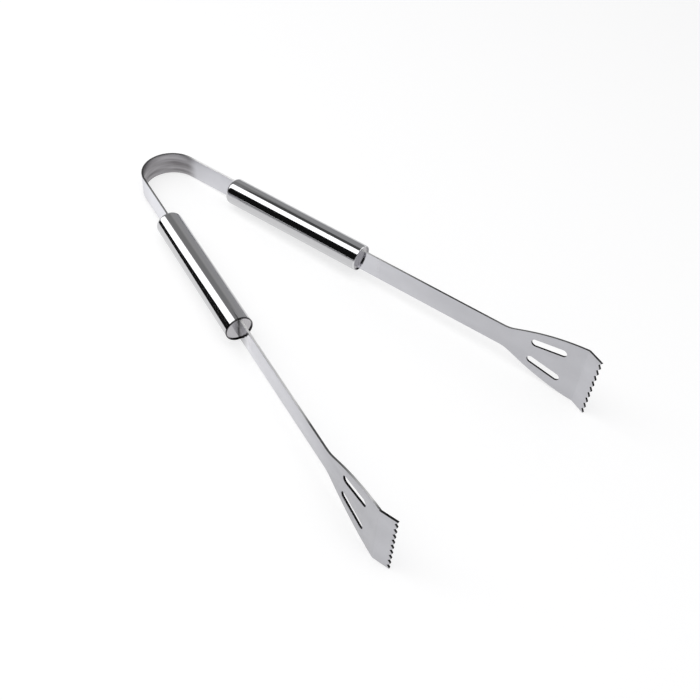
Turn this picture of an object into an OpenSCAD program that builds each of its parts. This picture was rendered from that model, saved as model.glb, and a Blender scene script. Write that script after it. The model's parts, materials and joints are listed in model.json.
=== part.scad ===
// Spring tongs: one bent spring strip joins two arms. Each arm is a tube handle
// over a lap joint, with a slotted, toothed blade at its far end.
// +X runs from the bow to the tips, +Y to the left arm, and +Z is the width of the strips.

/* [Strips] */
// Width of the spring strip and of the blades' shanks
strip_w = 18; // [14:0.5:18.6]
// Thickness of the spring strip and of the blades
strip_t = 1.5; // [1:0.1:2]
// Radius of the bow, to the middle of the strip
bow_r = 22; // [18:0.5:32]
// Angle between each arm and the middle plane, with the spring relaxed
half_open = 12.5; // [6:0.5:20]

/* [Handles] */
// Outer diameter of the handle tubes
tube_d = 20; // [20:0.5:28]
// Wall of the handle tubes
tube_wall = 0.6; // [0.5:0.1:0.8]
// Distance from the bow's end to the top of each handle
handle_start = 42; // [30:1:60]
// Length of each handle, end cap included
handle_len = 120; // [90:1:160]
// Radius of the end cap's rounded shoulder
cap_round = 3.5; // [2:0.1:4.5]
// Height of the part of the end cap that shows
cap_h = 5; // [5:0.1:8]
// Thickness of the disc that closes the lower end
disc_t = 3; // [2:0.1:5]
// Depth of that disc below the tube's rim
disc_recess = 1; // [0.4:0.1:3]

/* [Blades] */
// Distance from a handle's lower end to the blade's bend
blade_reach = 178; // [150:1:220]
// Width of a blade at its bend and along its teeth
blade_w = 50.4; // [44:0.2:60]
// Angle at which the shank flares out into the blade
flare_angle = 23; // [18:0.5:28]
// Length of the bent tip
tip_len = 12; // [8:0.5:18]
// Angle by which the tip bends inwards
tip_bend = 24.5; // [10:0.5:35]
// Number of notches that cut the teeth
notch_count = 9; // [5:1:13]
// Depth of a notch
notch_depth = 2; // [1:0.1:2.6]
// Length of a drain slot
slot_len = 26; // [16:0.5:30]
// Width of a drain slot
slot_w = 6; // [4:0.2:7]

/* [Hidden] */
$fn = 96;

steel = [0.72, 0.73, 0.75];
polished_steel = [0.80, 0.81, 0.83];
rivet_steel = [0.62, 0.63, 0.65];

// Clearances between pieces that fit each other
slide_fit = 0.05;   // a strip in its slot, on each side
press_gap = 0.02;   // a disc, cap or rivet in its hole, in the radius
cut = 0.5;          // how far a cutting shape runs past a face

// Along an arm, x is measured from the bow's end and y outwards from the tube's axis
arm_axis_r = bow_r - strip_t/2;
handle_end = handle_start + handle_len;
bend_x = handle_end + blade_reach;
disc_x = handle_end - disc_recess - disc_t;
tube_x = handle_start + cap_h;
bore_r = tube_d/2 - tube_wall;

// The lap joint inside a handle, where the bow's leg and the blade's tang are riveted
tang_w = 5/6*strip_w;
leg_end = disc_x - slide_fit;
lap_len = 32;
tang_end = leg_end - lap_len;
rivet_d = 4;
rivet_head_d = 7;
rivet_head_h = 1.3;
front_rivet_x = leg_end - lap_len/4;
rear_rivet_x = leg_end - 3*lap_len/4;

// The end cap's hollow inside
cap_wall = 1.4;
spigot_len = 8;

// The bend across the blade: where its inner curve begins, along the arm
bend_inner_r = 2;
bend_mid_r = bend_inner_r + strip_t/2;
bend_setback = bend_mid_r*tan(tip_bend/2);
bend_start = bend_x - bend_setback;

// The blade's outline: a hollow curve at the neck, a straight flare, then a full curve
// that reaches the blade's width just before the bend
neck_r = 20;
cheek_r = 150;
cheek_end_angle = 6;
cheek_gap = 1;
cheek_centre = [bend_start - cheek_gap + cheek_r*sin(cheek_end_angle), blade_w/2 - cheek_r*cos(cheek_end_angle)];
cheek_start = cheek_centre + cheek_r*[-sin(flare_angle), cos(flare_angle)];
flare_len = (cheek_start.y - strip_w/2 - neck_r*(1 - cos(flare_angle)))/sin(flare_angle);
neck_x = cheek_start.x - flare_len*cos(flare_angle) - neck_r*sin(flare_angle);
neck_bite = 0.002;  // how deep the hollow curve bites the shank's edge
seam = 2;           // how far each half of the outline runs past the middle line

// Drain slots and teeth
slot_x = bend_x - 26;
slot_z = blade_w/5;
slot_angle = 10.5;
notch_pitch = blade_w/notch_count;
notch_mouth = 0.86*notch_pitch;

// The whole object is centred on its box, and its lowest edge is at the height of the floor
blade_y = arm_axis_r - strip_t/2;
tip_x = bend_x*cos(half_open) - blade_y*sin(half_open)
        + tip_len*cos(half_open - tip_bend) + strip_t/2*sin(abs(tip_bend - half_open));
bow_back_x = -bow_r - strip_t/2;
hinge_x = -(tip_x + bow_back_x)/2;

// From an arm's own directions to the place where the relaxed spring holds it
module left_arm() {
    translate([hinge_x, 0, blade_w/2]) rotate(half_open) translate([0, arm_axis_r, 0]) children();
}

module right_arm() {
    mirror([0, 1, 0]) left_arm() children();
}

// A disc or ring across the arm, from x to x + length
module across(x, length) {
    translate([x, 0, 0]) rotate([0, 90, 0]) linear_extrude(length) children();
}

// A flat strip along the arm with its middle at height y
module strip(from_x, to_x, y, width, thickness) {
    translate([from_x, y - thickness/2, -width/2]) cube([to_x - from_x, thickness, width]);
}

// Two holes through the lap joint
module rivet_holes() {
    for (x = [front_rivet_x, rear_rivet_x])
        translate([x, 0, 0]) rotate([90, 0, 0]) cylinder(d = rivet_d, h = 4*strip_t, center = true);
}

// Everything ahead of the y axis, to a distance
module ahead(reach) {
    translate([0, -reach]) square([reach, 2*reach]);
}

// The spring strip seen from its edge: the bow, then a straight leg along each arm
module bow_profile() {
    for (side = [0, 1]) mirror([0, side]) rotate(half_open) {
        intersection() {
            difference() {
                circle(bow_r + strip_t/2, $fn = 180);
                circle(bow_r - strip_t/2, $fn = 180);
            }
            translate([-2*bow_r, 0]) square(2*bow_r);
        }
        translate([0, bow_r - strip_t/2]) square([leg_end, strip_t]);
    }
}

module spring_bow() {
    color(steel) difference() {
        translate([hinge_x, 0, blade_w/2 - strip_w/2]) linear_extrude(strip_w) bow_profile();
        left_arm() rivet_holes();
        right_arm() rivet_holes();
    }
}

// Half of the blade's outline, above its middle line
module half_outline() {
    shank_x = handle_end - disc_recess;
    intersection() {
        union() {
            translate([tang_end, -seam]) square([shank_x - tang_end, tang_w/2 + seam]);
            difference() {
                union() {
                    translate([shank_x, -seam]) square([neck_x - shank_x, strip_w/2 + seam]);
                    translate([neck_x, -seam]) square([neck_r, neck_r + seam]);
                }
                translate([neck_x, strip_w/2 + neck_r - neck_bite]) rotate(flare_angle) {
                    circle(neck_r, $fn = 180);
                    ahead(3*neck_r);
                }
            }
            translate([neck_x, strip_w/2 + neck_r - neck_bite]) rotate(flare_angle) {
                translate([0, -neck_r - blade_w]) square([flare_len, blade_w]);
                translate([flare_len, -neck_r - cheek_r]) intersection() {
                    circle(cheek_r, $fn = 720);
                    ahead(cheek_r + cut);
                }
            }
        }
        translate([tang_end, -seam]) square([bend_start - cheek_gap/4 - tang_end, blade_w/2 + seam]);
    }
    translate([bend_start - cheek_gap/2, -seam]) square([tip_len + cheek_gap, blade_w/2 + seam]);
}

module drain_slot() {
    translate([slot_x, slot_z]) rotate(slot_angle) {
        square([slot_len - slot_w, slot_w], center = true);
        for (side = [-1, 1]) translate([side*(slot_len - slot_w)/2, 0]) circle(d = slot_w);
    }
}

module blade_outline() {
    difference() {
        for (side = [0, 1]) mirror([0, side]) half_outline();
        for (side = [0, 1]) mirror([0, side]) drain_slot();
    }
}

// The blade seen from its edge: two straight sheets, the shank's and the tip's, which meet in the bend
module blade_profile() {
    sheet_len = [bend_start - tang_end, tip_len - bend_setback];
    translate([bend_start, -bend_mid_r]) rotate(-tip_bend/2)
        for (side = [0, 1]) mirror([side, 0]) rotate(tip_bend/2) {
            translate([-sheet_len[side], bend_inner_r]) square([sheet_len[side], strip_t]);
            difference() {
                circle(bend_inner_r + strip_t);
                circle(bend_inner_r);
                mirror([1, 0]) ahead(2*bend_mid_r);
                rotate(-0.75*tip_bend) ahead(2*bend_mid_r);
            }
        }
}

// Cuts the teeth into the tip's edge
module notches() {
    growth = 1 + cut/notch_depth;
    translate([bend_start, -bend_mid_r, 0]) rotate(-tip_bend)
        translate([tip_len - bend_setback, bend_mid_r + strip_t, 0]) rotate([90, 0, 0])
            linear_extrude(2*strip_t) for (i = [0:notch_count - 1])
                translate([0, (i + 0.5)*notch_pitch - blade_w/2])
                    polygon([[-notch_depth, 0], [cut, growth*notch_mouth/2], [cut, -growth*notch_mouth/2]]);
}

module blade() {
    translate([0, -strip_t/2, 0]) difference() {
        intersection() {
            translate([0, 0, -blade_w/2 - cut]) linear_extrude(blade_w + 2*cut) blade_profile();
            translate([0, strip_t, 0]) rotate([90, 0, 0]) linear_extrude(tip_len + 2*strip_t) blade_outline();
        }
        rivet_holes();
        notches();
    }
}

module handle_tube() {
    across(tube_x, handle_end - tube_x) difference() {
        circle(d = tube_d);
        circle(bore_r);
    }
}

// A rounded, hollow cap with a slot for the bow's leg, whose spigot fills the tube's bore
module end_cap() {
    spigot_r = bore_r - press_gap;
    difference() {
        translate([handle_start, 0, 0]) rotate([0, 90, 0]) rotate_extrude() difference() {
            union() {
                square([tube_d/2 - cap_round, cap_h]);
                translate([0, cap_round]) square([tube_d/2, cap_h - cap_round]);
                translate([tube_d/2 - cap_round, cap_round]) intersection() {
                    circle(cap_round);
                    translate([0, -cap_round]) square(cap_round);
                }
                translate([0, cap_h]) square([spigot_r, spigot_len]);
            }
            translate([0, cap_h - cap_wall]) square([spigot_r - cap_wall, spigot_len + cap_wall + cut]);
        }
        strip(handle_start - cut, tube_x + cut, strip_t/2, strip_w + 2*slide_fit, strip_t + 2*slide_fit);
        strip(tube_x, tube_x + spigot_len + cut, strip_t/2, tube_d, 3*strip_t);
    }
}

// The disc that closes the lower end, trapped between the blade's shoulders and the bow's leg
module handle_disc() {
    difference() {
        across(disc_x, disc_t) circle(bore_r - press_gap);
        strip(disc_x - cut, disc_x + disc_t + cut, -strip_t/2, tang_w + 2*slide_fit, strip_t + 2*slide_fit);
    }
}

// A rivet with two domed heads, one on each side of the lap
module rivet(x) {
    dome_r = (pow(rivet_head_d/2, 2) + pow(rivet_head_h, 2))/(2*rivet_head_h);
    translate([x, 0, 0]) {
        rotate([90, 0, 0]) cylinder(r = rivet_d/2 - press_gap, h = 2*strip_t, center = true);
        for (side = [0, 1]) mirror([0, side, 0]) rotate([-90, 0, 0]) intersection() {
            translate([0, 0, strip_t + rivet_head_h - dome_r]) sphere(dome_r);
            translate([0, 0, strip_t]) cylinder(d = rivet_head_d, h = rivet_head_h + cut);
        }
    }
}

module left_blade() { color(steel) left_arm() blade(); }
module left_handle_tube() { color(polished_steel) left_arm() handle_tube(); }
module left_end_cap() { color(polished_steel) left_arm() end_cap(); }
module left_handle_disc() { color(polished_steel) left_arm() handle_disc(); }
module left_front_rivet() { color(rivet_steel) left_arm() rivet(front_rivet_x); }
module left_rear_rivet() { color(rivet_steel) left_arm() rivet(rear_rivet_x); }

module right_blade() { color(steel) right_arm() blade(); }
module right_handle_tube() { color(polished_steel) right_arm() handle_tube(); }
module right_end_cap() { color(polished_steel) right_arm() end_cap(); }
module right_handle_disc() { color(polished_steel) right_arm() handle_disc(); }
module right_front_rivet() { color(rivet_steel) right_arm() rivet(front_rivet_x); }
module right_rear_rivet() { color(rivet_steel) right_arm() rivet(rear_rivet_x); }

spring_bow();
left_blade();
left_handle_tube();
left_end_cap();
left_handle_disc();
left_front_rivet();
left_rear_rivet();
right_blade();
right_handle_tube();
right_end_cap();
right_handle_disc();
right_front_rivet();
right_rear_rivet();
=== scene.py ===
# %% [markdown]
# # Long steel tongs
# One flat spring strip is bent into a bow that joins two arms. Each arm is a polished tube handle, closed by
# a rounded cap and a flat disc, with a slotted, toothed blade of satin steel at its end.
# The solid model gives every size and place. This lesson adds what the eye needs: the bent strip as one
# smooth mesh, satin and brushed steel, mirror polish, and a small studio.

import json
from math import cos, pi, radians, sin

import bmesh
import bpy
from mathutils import Matrix, Vector


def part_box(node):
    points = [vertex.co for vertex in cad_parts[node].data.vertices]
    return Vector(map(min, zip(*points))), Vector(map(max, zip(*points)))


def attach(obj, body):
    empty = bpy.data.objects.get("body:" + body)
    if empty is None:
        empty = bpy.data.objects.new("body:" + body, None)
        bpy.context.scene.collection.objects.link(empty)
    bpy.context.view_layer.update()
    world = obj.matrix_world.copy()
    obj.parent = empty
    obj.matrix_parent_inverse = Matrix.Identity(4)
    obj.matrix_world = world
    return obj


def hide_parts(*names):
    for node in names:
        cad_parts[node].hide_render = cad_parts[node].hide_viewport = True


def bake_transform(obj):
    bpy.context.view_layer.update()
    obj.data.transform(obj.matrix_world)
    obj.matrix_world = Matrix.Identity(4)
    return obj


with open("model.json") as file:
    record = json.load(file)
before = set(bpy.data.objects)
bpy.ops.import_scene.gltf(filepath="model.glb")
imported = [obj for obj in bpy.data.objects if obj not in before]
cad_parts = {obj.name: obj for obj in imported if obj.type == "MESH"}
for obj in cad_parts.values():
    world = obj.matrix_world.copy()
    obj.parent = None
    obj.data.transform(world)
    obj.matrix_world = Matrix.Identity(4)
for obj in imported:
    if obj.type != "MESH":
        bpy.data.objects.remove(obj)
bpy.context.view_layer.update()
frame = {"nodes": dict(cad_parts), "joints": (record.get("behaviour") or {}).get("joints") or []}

# %% Sizes shared by the pieces, in metres
MM = 0.001
hinge = Vector(frame["joints"][0]["pos_m"])
half_open = radians(12.5)
strip_width = 18*MM
strip_thickness = 1.5*MM
bow_radius = 22*MM
leg_length = 157.95*MM
tube_axis_offset = bow_radius - strip_thickness/2
tube_radius = 10*MM
handle_end = 162*MM


def arm_place(side):
    """From an arm's own directions (x along the arm, y outwards, z up) to the frame. side is 1 or -1."""
    turn = Matrix.Rotation(half_open, 4, "Z")
    place = Matrix.Translation(hinge) @ turn @ Matrix.Translation((0, tube_axis_offset, 0))
    return place if side > 0 else Matrix.Scale(-1, 4, (0, 1, 0)) @ place


print("left arm starts at", [round(v, 4) for v in arm_place(1).translation])


# %% [markdown]
# ## Camera
# A long lens from above and in front of the right arm, so that the inner face of the left arm and the outer
# face of the right arm both show. It could be aimed by a constraint, but fixed axes are exact.
# A camera looks along its own -Z, so its three axes are written as columns.

# %% Camera
def add_object(name, data):
    """Puts a mesh or a camera in the scene, at the origin."""
    made = bpy.data.objects.new(name, data)
    bpy.context.scene.collection.objects.link(made)
    return made


lens = bpy.data.cameras.new("camera")
lens.sensor_width = 36
lens.lens = 51.19
camera = add_object("camera", lens)
camera_right = Vector((0.67299, 0.73634, 0.06992))
camera_up = Vector((-0.58422, 0.47122, 0.66079))
camera_back = Vector((0.45362, -0.48555, 0.74731))
camera_position = Vector((0.355525, -0.331609, 0.519433))
camera_axes = Matrix((camera_right, camera_up, camera_back)).transposed()
camera.matrix_world = Matrix.Translation(camera_position) @ camera_axes.to_4x4()
bpy.context.scene.camera = camera
print("camera", round((camera_position - hinge).length, 3), "m from the bow")


# %% [markdown]
# ## The spring bow
# The real strip is cut from sheet, tumbled so that its edges are slightly round, and bent over a mandrel.
# It could be a curve with a profile, but a section that is spun round the bow and then pushed out along both
# legs gives even quads, which bend cleanly when the tongs are squeezed.

# %% The strip's section
def strip_section(bm, width, thickness, edge_round):
    """A flat rectangle across the strip, with round corners: x is the thickness, z the width."""
    made = bmesh.ops.create_grid(bm, x_segments=1, y_segments=1, size=0.5)["verts"]
    bmesh.ops.scale(bm, vec=(thickness, width, 1), verts=made)
    bmesh.ops.rotate(bm, cent=(0, 0, 0), matrix=Matrix.Rotation(pi/2, 3, "X"), verts=made)
    bmesh.ops.bevel(bm, geom=made, offset=edge_round, offset_type="OFFSET", segments=3, profile=0.5,
                    affect="VERTICES", material=-1)
    return bm.verts[:]


edge_round = 0.3*MM
skin = 0.001*MM  # the mesh stays this little inside the solid piece
bow_steps = 64
leg_steps = 12
bow = bmesh.new()
section = strip_section(bow, strip_width - skin, strip_thickness - skin, edge_round)
bmesh.ops.translate(bow, vec=(bow_radius, 0, 0), verts=section)
bmesh.ops.rotate(bow, cent=(0, 0, 0), matrix=Matrix.Rotation(pi/2 + half_open, 3, "Z"), verts=section)
bmesh.ops.translate(bow, vec=hinge, verts=section)
print("section of the strip:", len(section), "points")


# %% Spin the section round the bow and push it out along both legs
def push_leg(bm, edges, direction):
    """Pushes an open loop of edges out along a leg, step by step, and returns the last loop."""
    for step in range(leg_steps):
        pushed = bmesh.ops.extrude_edge_only(bm, edges=edges)["geom"]
        edges = [g for g in pushed if isinstance(g, bmesh.types.BMEdge)]
        verts = [g for g in pushed if isinstance(g, bmesh.types.BMVert)]
        edges = [e for e in edges if all(v in verts for v in e.verts)]
        bmesh.ops.translate(bm, vec=direction*leg_length/leg_steps, verts=verts)
    return edges


left_loop = bow.edges[:]
start_face = bow.faces[:]
spun = bmesh.ops.spin(bow, geom=left_loop, cent=hinge, axis=(0, 0, 1), angle=pi - 2*half_open,
                      steps=bow_steps, use_merge=False, use_duplicate=False)["geom_last"]
right_loop = [g for g in spun if isinstance(g, bmesh.types.BMEdge)]
right_end = push_leg(bow, right_loop, Vector((cos(half_open), -sin(half_open), 0)))
left_end = push_leg(bow, left_loop, Vector((cos(half_open), sin(half_open), 0)))
bmesh.ops.delete(bow, geom=start_face, context="FACES_ONLY")
for rim in (left_end, right_end):
    bmesh.ops.contextual_create(bow, geom=rim)
bmesh.ops.remove_doubles(bow, verts=bow.verts, dist=1e-7)
bmesh.ops.recalc_face_normals(bow, faces=bow.faces)
print("open edges on the bow:", sum(1 for e in bow.edges if len(e.link_faces) != 2))


# %% A UV that follows the strip
def forward_of(point):
    """How far a point lies ahead of the line where the bow meets its nearer leg."""
    return point.x*cos(half_open) + abs(point.y)*sin(half_open)


def along_strip(point):
    """Length along the strip from the middle of the bow, in metres, for a pattern that follows the bend."""
    p = point - hinge
    side = 1 if p.y > 0 else -1
    forward = forward_of(p)
    if forward > 0:
        return side*(forward + bow_radius*(pi/2 - half_open))
    outward = -p.x*sin(half_open) + abs(p.y)*cos(half_open)
    return side*bow_radius*(pi/2 - half_open - Vector((outward, -forward)).angle(Vector((1, 0))))


strip_uv = bow.loops.layers.uv.new("along_strip")
for face in bow.faces:
    for loop in face.loops:
        loop[strip_uv].uv = (along_strip(loop.vert.co), loop.vert.co.z)
print("strip, from the middle of the bow to a leg's end:",
      round(max(along_strip(v.co) for v in bow.verts), 4), "m")


# %% [markdown]
# ## Steel finishes
# Bare steel is a metal with almost no colour of its own: what is seen is the studio, blurred by the
# finish. So each finish is a Principled shader with full metal and a roughness broken up by noise that is
# stretched along the rolling direction. A bitmap would need unwrapping and would blur close up.

# %% Helpers for finishes
def new_material(name, color, roughness, metallic=1.0):
    material = bpy.data.materials.new(name)
    material.use_nodes = True
    shader = material.node_tree.nodes["Principled BSDF"]
    shader.inputs["Base Color"].default_value = (*color, 1)
    shader.inputs["Roughness"].default_value = roughness
    shader.inputs["Metallic"].default_value = metallic
    return material, material.node_tree, shader


def add_node(tree, kind, inputs, **options):
    """Adds a node. inputs gives each named or numbered socket a value or another node's output."""
    node = tree.nodes.new(kind)
    for option, value in options.items():
        setattr(node, option, value)
    for socket, value in inputs.items():
        if isinstance(value, bpy.types.NodeSocket):
            tree.links.new(value, node.inputs[socket])
        else:
            node.inputs[socket].default_value = value
    return node


def coordinates(tree):
    return add_node(tree, "ShaderNodeTexCoord", {}).outputs


def axis_of(tree, vector, axis):
    return add_node(tree, "ShaderNodeSeparateXYZ", {"Vector": vector}).outputs[axis]


def math_node(tree, first, second, operation="MULTIPLY"):
    return add_node(tree, "ShaderNodeMath", {0: first, 1: second}, operation=operation).outputs["Value"]


def size_of(tree, value):
    return math_node(tree, value, 0, "ABSOLUTE")


def map_range(tree, value, start, end, low=0.0, high=1.0, **options):
    sockets = {"Value": value, "From Min": start, "From Max": end, "To Min": low, "To Max": high}
    return add_node(tree, "ShaderNodeMapRange", sockets, **options).outputs["Result"]


def fade(tree, value, start, end):
    """0 where the value is at start and 1 where it is at end, with a soft ramp between."""
    return map_range(tree, value, start, end, interpolation_type="SMOOTHSTEP")


def spread(tree, value, low, high):
    """Maps the middle of a noise, where most of its values lie, to the range from low to high."""
    return map_range(tree, value, 0.3, 0.7, low, high)


def mix_colors(tree, factor, first, second):
    """Mixes two colours by a factor. Each colour is a tuple or another node's output."""
    node = add_node(tree, "ShaderNodeMix", {0: factor}, data_type="RGBA")
    sockets = [s for s in node.inputs if s.type == "RGBA"]
    for socket, value in zip(sockets, (first, second)):
        if isinstance(value, tuple):
            socket.default_value = (*value, 1)
        else:
            tree.links.new(value, socket)
    return [s for s in node.outputs if s.type == "RGBA"][0]


def tint(tree, tone, color):
    """Multiplies a tone by a colour."""
    return add_node(tree, "ShaderNodeVectorMath", {0: tone, 1: color}, operation="MULTIPLY").outputs["Vector"]


def grain(tree, source, turn, scale, detail=4.0):
    """Noise stretched by scale along the axes that source gives, once it is turned about Z."""
    mapping = add_node(tree, "ShaderNodeMapping", {
        "Vector": source, "Rotation": (0, 0, turn), "Scale": scale})
    return add_node(tree, "ShaderNodeTexNoise", {
        "Vector": mapping.outputs["Vector"], "Scale": 1.0, "Detail": detail}).outputs["Fac"]


def tones_along(tree, value, start, end, stops):
    """Grey tones at places between start and end. stops lists (place, tone)."""
    ramp = add_node(tree, "ShaderNodeValToRGB", {"Fac": map_range(tree, value, start, end)})
    elements = ramp.color_ramp.elements
    while len(elements) < len(stops):
        elements.new(0.5)
    for element, (place, tone) in zip(elements, stops):
        element.position = (place - start)/(end - start)
        element.color = (tone, tone, tone, 1)
    return ramp.outputs["Color"]


def facing(tree, normal, direction, start, end):
    """0 where the share of the normal along a direction is start, and 1 where it is end."""
    dot = add_node(tree, "ShaderNodeVectorMath", {0: normal, 1: direction}, operation="DOT_PRODUCT")
    return fade(tree, size_of(tree, dot.outputs["Value"]), start, end)


print("helpers ready")

# %% [markdown]
# ## Satin steel
# Blades and strip are cut from rolled sheet and rubbed along their length, so they are satin with fine lines,
# and slightly cloudy. Their cut edges are rough, and their grey is painted: painted shade darkens them along
# most of their length, and painted highlights lighten them in places. A second sheet of geometry could carry
# the edges' finish, but a mask made from the face's normal finds them on any mesh. The grey of the faces
# changes slowly along each piece as painted light and shade, which a colour ramp on the place along it
# gives. The slot walls are painted near black as shade.

# %% Satin steel, shared
satin_base = (0.5, 0.5, 0.5)
satin_roughness = 0.36
cut_roughness = 0.65
steel_tint = (0.985, 0.985, 1.035)


def finish_sheet(tree, shader, lines, color, cut_mask, satin=None):
    """Gives a sheet its colour, its rolling lines as roughness, and a faint relief. Its cut edges are rough,
    and where satin is 0 the sheet is half polished."""
    rough = spread(tree, lines, 0.30, 0.42)
    if satin:
        rough = math_node(tree, rough, spread(tree, satin, 0.3, 1.0))
    rougher = math_node(tree, math_node(tree, cut_roughness, rough, "SUBTRACT"), cut_mask)
    relief = add_node(tree, "ShaderNodeBump", {"Strength": 0.05, "Distance": 0.02*MM, "Height": lines})
    tree.links.new(color, shader.inputs["Base Color"])
    tree.links.new(math_node(tree, rough, rougher, "ADD"), shader.inputs["Roughness"])
    tree.links.new(relief.outputs["Normal"], shader.inputs["Normal"])


# %% Satin steel of the blades
blade_range = (-0.02, 0.19)
bend_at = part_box("left_blade")[1].x - 12*MM
tip_step = 0.4*MM
tip_angle = half_open - radians(24.5)
# painted light and shade along each blade's faces: lighter towards the handle and past the bend; on the right
# blade a painted shade by the disc, then a painted highlight
blade_painted_tones = {
    1: ((0.0, 0.60), (0.06, 0.54), (0.10, 0.515), (bend_at - tip_step, 0.505), (bend_at + tip_step, 0.53)),
    -1: ((-0.0045, 0.03), (-0.0040, 0.24), (0.0, 0.42), (0.008, 0.75), (0.05, 0.61), (0.08, 0.60),
         (0.12, 0.465), (bend_at - tip_step, 0.465), (bend_at + tip_step, 0.50))}
# painted light and shade on the blades' cut edges: painted highlights near the handle and in places, painted
# shade elsewhere
edge_painted_tones = {
    1: ((0.0, 0.80), (0.03, 0.40), (0.055, 0.09), (0.09, 0.10), (0.11, 0.26), (0.15, 0.18),
        (bend_at, 0.05), (bend_at + 3*MM, 0.06)),
    -1: ((0.0, 1.0), (0.070, 0.85), (0.085, 0.45), (0.091, 0.12), (0.112, 0.12), (0.130, 0.22),
         (0.145, 0.60), (0.16, 0.75), (bend_at, 0.05), (bend_at + 3*MM, 0.02))}
# the slot walls are painted near black: painted shade
slot_wall_painted_shade = (0.02, 0.02, 0.02)
slots_begin = 0.1290
slots_reach = 15*MM  # from the blade's middle line to the far wall of a slot
sheet_face, cut_face = 0.28, 0.12  # shares of a normal along the sheet's own


def blade_steel(name, side):
    """Rolled satin sheet whose grain runs along the arm, with painted light and shade along its faces and cut
    edges, and painted shade on its slot walls. side is 1 or -1.
    """
    material, tree, shader = new_material(name, satin_base, satin_roughness)
    place = coordinates(tree)
    x = axis_of(tree, place["Object"], "X")
    lines = grain(tree, place["Object"], -side*half_open, (30, 2500, 2500))
    clouds = grain(tree, place["Object"], -side*half_open, (18, 60, 60), 2.0)
    # the faces' grey is painted light and shade along the blade
    sheet = tint(tree, tones_along(tree, x, *blade_range, blade_painted_tones[side]), steel_tint)
    cloudy = add_node(tree, "ShaderNodeVectorMath", {0: sheet, "Scale": spread(tree, clouds, 0.95, 1.05)},
                      operation="SCALE").outputs["Vector"]
    # the cut edges get painted light and shade along the blade
    edges = tones_along(tree, x, *blade_range, edge_painted_tones[side])
    height = size_of(tree, math_node(tree, axis_of(tree, place["Object"], "Z"), hinge.z, "SUBTRACT"))
    # where the slot walls get their painted shade
    slot_shade_mask = math_node(tree, fade(tree, height, slots_reach + 0.5*MM, slots_reach),
                         fade(tree, x, slots_begin, slots_begin + 1.5*MM))
    edges = mix_colors(tree, slot_shade_mask, edges, slot_wall_painted_shade)
    masks = [facing(tree, place["Normal"], (-sin(angle), side*cos(angle), 0), sheet_face, cut_face)
             for angle in (half_open, tip_angle)]
    mask = mix_colors(tree, fade(tree, x, bend_at - tip_step, bend_at + tip_step), *masks)
    finish_sheet(tree, shader, lines, mix_colors(tree, mask, cloudy, edges), mask,
                 satin=fade(tree, x, 0, 20*MM))
    return material


blade_finish = {1: blade_steel("satin_steel_left", 1), -1: blade_steel("satin_steel_right", -1)}
print("satin steel of the blades made, their tips bend at x =", round(bend_at, 4))

# %% Satin steel of the spring strip
strip_range = (-0.05, 0.06)
# painted light and shade along the strip's faces, and below along its cut edges: painted shade round the bow,
# a painted highlight on the edges of the left leg
leg_painted_tones = ((-0.045, 0.80), (-0.03, 0.72), (0.03, 0.58), (0.05, 0.64))
strip_edge_painted_tones = ((-0.045, 0.26), (-0.03, 0.10), (0.022, 0.09), (0.036, 1.0))
# colours of the painted shade on the strip's inner side round the bow, in streaks
shade_streak_dark = (0.16, 0.152, 0.158)
shade_streak_light = (0.42, 0.41, 0.425)


def strip_steel(name, inside):
    """Spring strip, with painted light and shade along it. With inside, its inner side round the bow gets a
    darker painted shade, broken into streaks by noise, and its cut edges are painted dark there too."""
    material, tree, shader = new_material(name, satin_base, satin_roughness)
    place = coordinates(tree)
    along = axis_of(tree, place["UV"], "X")
    lines = grain(tree, place["UV"], 0, (30, 2500, 1))
    leg = tint(tree, tones_along(tree, along, *strip_range, leg_painted_tones), steel_tint)
    # the inner side round the bow gets painted shade, broken into streaks
    if inside:
        streaks = grain(tree, place["UV"], radians(8), (25, 220, 1), 3.0)
        marks = mix_colors(tree, spread(tree, streaks, 0, 1), shade_streak_dark, shade_streak_light)
        leg = mix_colors(tree, fade(tree, size_of(tree, along), 37*MM, 26*MM), leg, marks)
    edges = tones_along(tree, along, *strip_range, strip_edge_painted_tones)
    mask = facing(tree, place["Normal"], (0, 0, 1), 0.5, 0.9)
    finish_sheet(tree, shader, lines, mix_colors(tree, mask, leg, edges), mask)
    return material


strip_outside = strip_steel("satin_steel_strip", False)
strip_shaded_inside = strip_steel("satin_steel_strip_inside", True)
print("satin steel of the strip made")


# %% [markdown]
# ## Mirror polish
# The handles are polished on a wheel until they mirror the room. A perfect mirror looks false, so wiping
# marks and hairlines break the roughness up a little. The rim at a tube's lower end is dressed by hand, and
# its tone is painted reflection: light on the left tube, near black on the right. The disc inside it was
# faced on a lathe, which leaves fine rings, and its grey is painted light, lighter on the right than on the
# left. Rings could be cut into the mesh, but they are finer than its faces, so they are a pattern round the
# tube's axis.

# %% Mirror polish for the tubes and caps
def along_arm(tree, side):
    """A point in the arm's own directions, from the bow's end and the tube's axis."""
    turn = Matrix.Rotation(-side*half_open, 3, "Z")
    return add_node(tree, "ShaderNodeMapping", {
        "Vector": coordinates(tree)["Object"], "Rotation": (0, 0, -side*half_open),
        "Location": -(turn @ arm_place(side).translation)}).outputs["Vector"]


tube_tone = (0.55, 0.55, 0.56)
# the rims' tone is painted reflection: light on the left tube, near black on the right
rim_painted_tone = {1: (0.66, 0.66, 0.67), -1: (0.06, 0.058, 0.06)}


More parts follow.
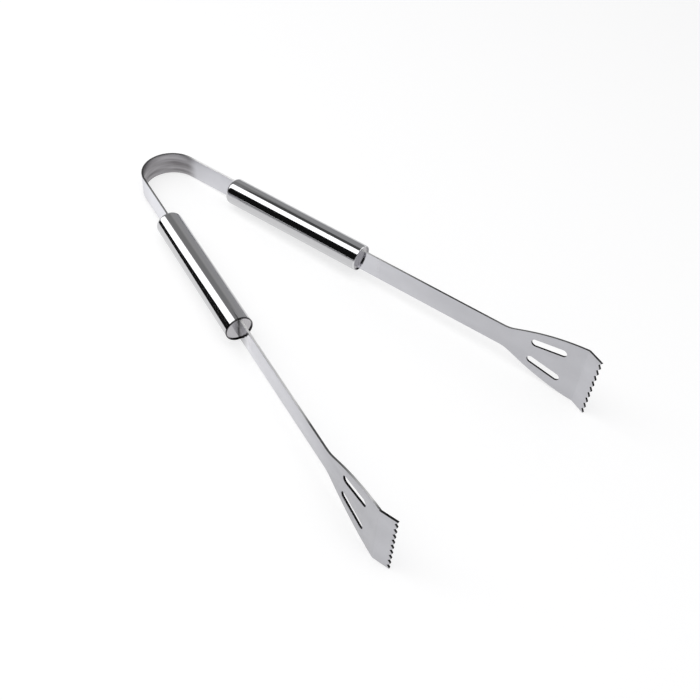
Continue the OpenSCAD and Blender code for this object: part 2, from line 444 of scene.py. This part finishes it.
def mirror_steel(name, side):
    """Polished tube: sharp reflections, faint wiping marks and hairlines, and a rim whose tone is painted
    reflection, light on the left tube and near black on the right.
    """
    material, tree, shader = new_material(name, tube_tone, 0.07)
    source = coordinates(tree)["Object"]
    # where the rim's painted reflection goes
    rim = fade(tree, axis_of(tree, along_arm(tree, side), "X"), handle_end - 1.3*MM, handle_end - 0.9*MM)
    wipes = grain(tree, source, -side*half_open, (12, 45, 45), 3.0)
    hairs = grain(tree, source, -side*half_open, (25, 1800, 1800), 2.0)
    marks = map_range(tree, math_node(tree, wipes, hairs), 0.1, 0.45, 0.06, 0.085)
    tree.links.new(mix_colors(tree, rim, tube_tone, rim_painted_tone[side]), shader.inputs["Base Color"])
    tree.links.new(marks, shader.inputs["Roughness"])
    return material


tube_steel = {1: mirror_steel("mirror_left", 1), -1: mirror_steel("mirror_right", -1)}
print("mirror steel made")

# %% Turned steel for the discs
# the discs' grey is painted light: the right disc lighter than the left
disc_painted_tone = {1: (0.40, 0.39, 0.405), -1: (0.47, 0.46, 0.475)}


def turned_disc(name, side):
    """Disc faced on a lathe: fine rings round the tube's axis. Its grey is painted light, lighter on the
    right disc than on the left.
    """
    material, tree, shader = new_material(name, disc_painted_tone[side], 0.14)
    rings = add_node(tree, "ShaderNodeTexWave", {"Vector": along_arm(tree, side), "Scale": 400,
                                                 "Distortion": 0.6}, wave_type="RINGS", rings_direction="X")
    tree.links.new(spread(tree, rings.outputs["Fac"], 0.08, 0.20), shader.inputs["Roughness"])
    return material


disc_finish = {1: turned_disc("turned_left", 1), -1: turned_disc("turned_right", -1)}
print("turned steel made")


# %% [markdown]
# ## The bow joins the two arms
# The real strip is the tongs' only joint: it bends. A rigid half on each arm would tear open at the middle,
# so the whole strip is one mesh, round the bow and along both legs.

# %% Give the bow its mesh and finish
def new_mesh(name, bm, *materials):
    mesh = bpy.data.meshes.new(name)
    bm.to_mesh(mesh)
    bm.free()
    for material in materials:
        mesh.materials.append(material)
    return mesh


def new_piece(name, bm, *materials):
    """Makes an object of a finished bmesh, smooth but for its sharp edges."""
    mesh = new_mesh(name, bm, *materials)
    for polygon in mesh.polygons:
        polygon.use_smooth = True
    mesh.set_sharp_from_angle(angle=radians(25))
    print(name, len(mesh.polygons), "faces")
    return add_object(name, mesh)


# faces on the inner side of the bow and legs take the copy with painted shade
for face in bow.faces:
    middle = face.calc_center_median() - hinge
    inward = Vector((0, -middle.y, 0)) if forward_of(middle) > 0 else Vector((-middle.x, -middle.y, 0))
    if face.normal.dot(inward.normalized()) > 0.5:
        face.material_index = 1
spring_bow = new_piece("bent_spring_strip", bow, strip_outside, strip_shaded_inside)
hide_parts("spring_bow")
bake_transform(spring_bow)


# %% [markdown]
# ## Softened edges
# A punched blade has one side where the sheet rolled over and one with a crisp burr edge, and a tube's rim is
# dressed so that it doesn't cut. Both catch light as a thin line. The solid model's own meshes are sharp, so
# copies of them get bevels on just those edges. Remodelling them by hand would risk moving a size.

# %% Copies with softened edges
def soft_copy(node, name, offset, is_soft, material, body):
    """A copy of a solid piece, merged, with a small bevel on its sharp edges that pass the test."""
    bm = bmesh.new()
    bm.from_mesh(frame["nodes"][node].data)
    bmesh.ops.remove_doubles(bm, verts=bm.verts, dist=1e-6)
    bmesh.ops.dissolve_limit(bm, angle_limit=radians(0.1), use_dissolve_boundaries=False,
                             verts=bm.verts, edges=bm.edges)
    edges = [e for e in bm.edges if e.is_manifold and e.calc_face_angle() > radians(50) and is_soft(e)]
    bmesh.ops.bevel(bm, geom=edges, offset=offset, offset_type="OFFSET", segments=3, profile=0.5,
                    affect="EDGES", material=-1, clamp_overlap=True)
    print(node, "edges softened:", len(edges), "open:", sum(1 for e in bm.edges if not e.is_manifold))
    piece = new_piece(name, bm, material)
    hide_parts(node)
    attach(piece, body)


tolerance = 0.05*MM
notch_start = bend_at - 1*MM
for side, name in ((1, "left"), (-1, "right")):
    to_arm = arm_place(side).inverted()

    def on_outer_face(edge):
        return (all(abs((to_arm @ v.co).y) < tolerance for v in edge.verts)
                and max(v.co.x for v in edge.verts) < notch_start)

    def on_lower_rim(edge):
        ends = [to_arm @ v.co for v in edge.verts]
        return all(abs(p.x - handle_end) < tolerance and Vector((p.y, p.z)).length > tube_radius - 2*tolerance
                   for p in ends)

    soft_copy(name + "_blade", name + "_toothed_blade", 0.4*MM, on_outer_face, blade_finish[side],
              name + "_arm")
    soft_copy(name + "_handle_tube", name + "_polished_tube", 0.45*MM, on_lower_rim, tube_steel[side],
              name + "_arm")

# %% Finishes on the solid model's own pieces
for side, name in ((1, "left"), (-1, "right")):
    for node, material in (("end_cap", tube_steel[side]), ("handle_disc", disc_finish[side]),
                           ("front_rivet", blade_finish[side]), ("rear_rivet", blade_finish[side])):
        materials = frame["nodes"][name + "_" + node].data.materials
        materials.clear()
        materials.append(material)
        print(name, node, "has", material.name)

# %% [markdown]
# ## Studio
# Polished tubes show the whole room, so the room is designed: a lit white table below, one long softbox
# above, black cards on the camera's side and a narrow dark one behind the softbox. The cards are seen only by
# reflections, so they shade nothing. The relaxed tongs stand on the bow's lower edge and the blades' lower
# corners, so the table is tilted to meet both.

# %% Table
tip_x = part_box("left_blade")[1].x
bow_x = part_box("spring_bow")[0].x
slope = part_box("spring_bow")[0].z/(tip_x - bow_x)
corner_x = tip_x - 8*MM  # where the blades' lowest corners stand


def table_height(x):
    return slope*(corner_x - x)


bm = bmesh.new()
bmesh.ops.create_grid(bm, x_segments=1, y_segments=1, size=15)
bmesh.ops.translate(bm, vec=(tip_x - 10*MM, 0, 0), verts=bm.verts)
for v in bm.verts:
    v.co.z = table_height(v.co.x) - 0.02*MM
white, tree, shader = new_material("white_table", (0.40, 0.40, 0.40), 0.6, 0.0)
shader.inputs["Emission Color"].default_value = (1, 1, 1, 1)
shader.inputs["Emission Strength"].default_value = 0.65
add_object("table", new_mesh("table", bm, white))
print("table slope", round(slope, 4))

# %% Softbox and cards, whose corners are in metres
black = (0.012, 0.012, 0.012)
ceiling = 1.2
only_reflected = ("camera", "diffuse", "shadow", "transmission", "volume_scatter")


def panel(name, corners, glow=0.0, hidden_from=only_reflected):
    """A flat panel through these corners: a softbox if it glows, otherwise a black card."""
    bm = bmesh.new()
    bmesh.ops.contextual_create(bm, geom=[bm.verts.new(c) for c in corners])
    material, tree, shader = new_material(name, black, 1.0, 0.0)
    shader.inputs["Specular IOR Level"].default_value = 0
    shader.inputs["Emission Color"].default_value = (1, 1, 1, 1)
    shader.inputs["Emission Strength"].default_value = glow
    made = add_object(name, new_mesh(name, bm, material))
    for kind in hidden_from:
        setattr(made, "visible_" + kind, False)
    print(name, "placed")
    return tree, shader


def overhead(*corners):
    return [(x, y, ceiling) for x, y in corners]


def upright(first, last, bottom, top):
    """A standing wall between two points of the floor plan."""
    return [(*first, bottom), (*last, bottom), (*last, top), (*first, top)]


panel("softbox", overhead((1.2, 0.42), (-4.5, -0.95), (-4.5, -2.85), (1.2, 0.01)), 2.3, ("camera",))
panel("black_card", upright((-6, -3.2), (3, -1.7), 0.0, 4))
panel("far_card", overhead((-0.79, 0.03), (-0.89, 0.33), (-0.90, 0.56), (-0.62, 0.58), (-0.50, 0.50),
                           (-0.45, 0.05)), 0.08)
tree, shader = panel("dim_card", overhead((-0.80, 0.03), (-4.5, -0.80), (-4.5, 1.5), (-0.91, 1.5),
                                          (-0.91, 0.33)))
y = axis_of(tree, coordinates(tree)["Object"], "Y")
tree.links.new(spread(tree, fade(tree, y, 0.2, 1.5), 0.27, 0.42), shader.inputs["Emission Strength"])
panel("rim_light", upright((1.9, 1.2), (0.9, 2.3), 0.25, 1.7), 2.0)
panel("end_card", upright((2.0, -1.5), (2.0, 1.1), 0.5, 3))
panel("table_card", [(x, y, table_height(x) + 0.5*MM) for x, y in
                     ((-0.02, -0.09), (-3, -0.09), (-3, -2.2), (-0.02, -1.7))])

# %% Surroundings
world = bpy.data.worlds.new("room")
world.use_nodes = True
world.node_tree.nodes["Background"].inputs["Color"].default_value = (0.42, 0.42, 0.43, 1)
bpy.context.scene.world = world
bpy.context.scene.view_settings.view_transform = "Standard"
print("room made")
